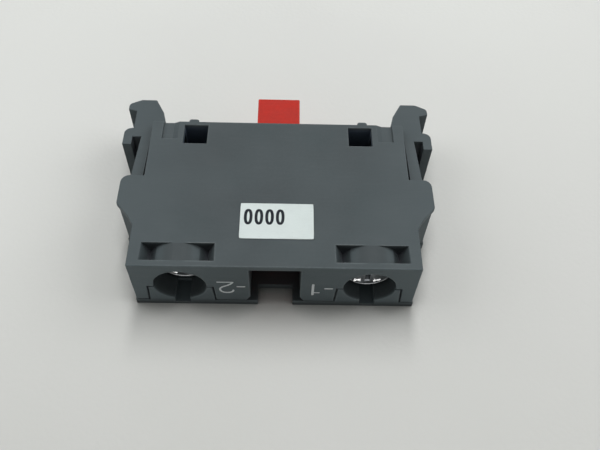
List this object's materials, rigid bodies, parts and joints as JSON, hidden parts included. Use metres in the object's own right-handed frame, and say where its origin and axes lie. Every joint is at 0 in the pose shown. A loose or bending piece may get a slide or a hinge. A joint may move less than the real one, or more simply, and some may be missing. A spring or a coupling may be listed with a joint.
{
  "type": "push button contact block",
  "caption": "Flat moulded contact block for a panel push button: a sprung red plunger between latch hooks at one end, screw terminals in round wells at the other.",
  "frame": {"origin": "centre of the bounding box in X and Y, on the resting face in Z", "axes": "+X across the block towards the terminal marked 1, +Y from the terminal face towards the plunger, +Z from the resting face up to the labelled face"},
  "size_m": [0.0456, 0.0314, 0.0101],
  "materials": {
    "grey_plastic": "fine moulded texture",
    "red_plastic": "smooth moulded",
    "brass": "stamped",
    "silver": "satin",
    "plated_steel": "bright zinc plating",
    "spring_steel": "drawn wire",
    "paper": "matt paper"
  },
  "bodies": {
    "block": {"housing_shell": "grey_plastic", "base_cover": "grey_plastic", "label": "paper", "contact_strip_left": "brass", "contact_strip_right": "brass", "fixed_tip_left": "silver", "fixed_tip_right": "silver", "terminal_nut_left": "plated_steel", "terminal_nut_right": "plated_steel", "return_spring": "spring_steel"},
    "plunger_body": {"plunger": "red_plastic", "contact_spring": "spring_steel"},
    "bridge_body": {"contact_bridge": "brass", "bridge_tip_left": "silver", "bridge_tip_right": "silver"},
    "latch_left": {"latch_hook_left": "grey_plastic"},
    "latch_right": {"latch_hook_right": "grey_plastic"},
    "clamp_left": {"clamp_plate_left": "plated_steel"},
    "clamp_right": {"clamp_plate_right": "plated_steel"},
    "screw_left": {"terminal_screw_left": "plated_steel"},
    "screw_right": {"terminal_screw_right": "plated_steel"}
  },
  "joints": [
    {"name": "plunger_slide", "type": "slide", "parent": "block", "child": "plunger_body", "axis": [0, -1, 0], "range_m": [0, 0.004], "stiffness_N_per_m": 400, "springref_m": -0.005, "deforming": ["return_spring", "contact_spring"]},
    {"name": "bridge_slide", "type": "slide", "parent": "block", "child": "bridge_body", "axis": [0, -1, 0], "range_m": [0, 0.003]},
    {"name": "latch_left_flex", "type": "hinge", "parent": "block", "child": "latch_left", "pos_m": [-0.01985, -0.00305, 0.005], "axis": [0, 0, -1], "range_deg": [0, 3.5], "stiffness_Nm_per_rad": 0.6},
    {"name": "latch_right_flex", "type": "hinge", "parent": "block", "child": "latch_right", "pos_m": [0.01985, -0.00305, 0.005], "axis": [0, 0, 1], "range_deg": [0, 3.5], "stiffness_Nm_per_rad": 0.6},
    {"name": "clamp_left_slide", "type": "slide", "parent": "block", "child": "clamp_left", "axis": [0, 1, 0], "range_m": [-0.00155, 0.00078]},
    {"name": "clamp_right_slide", "type": "slide", "parent": "block", "child": "clamp_right", "axis": [0, 1, 0], "range_m": [-0.00065, 0.00168]},
    {"name": "screw_left_turn", "type": "hinge", "parent": "clamp_left", "child": "screw_left", "pos_m": [-0.0127, -0.01235, 0.005], "axis": [0, 1, 0], "range_deg": [-800, 404]},
    {"name": "screw_right_turn", "type": "hinge", "parent": "clamp_right", "child": "screw_right", "pos_m": [0.0127, -0.01325, 0.005], "axis": [0, 1, 0], "range_deg": [-336, 866]}
  ],
  "couplings": [
    {"joint": "bridge_slide", "follows": "plunger_slide", "ratio": 0.75},
    {"joint": "screw_left_turn", "follows": "clamp_left_slide", "rad_per_m": 8976},
    {"joint": "screw_right_turn", "follows": "clamp_right_slide", "rad_per_m": 8976}
  ]
}
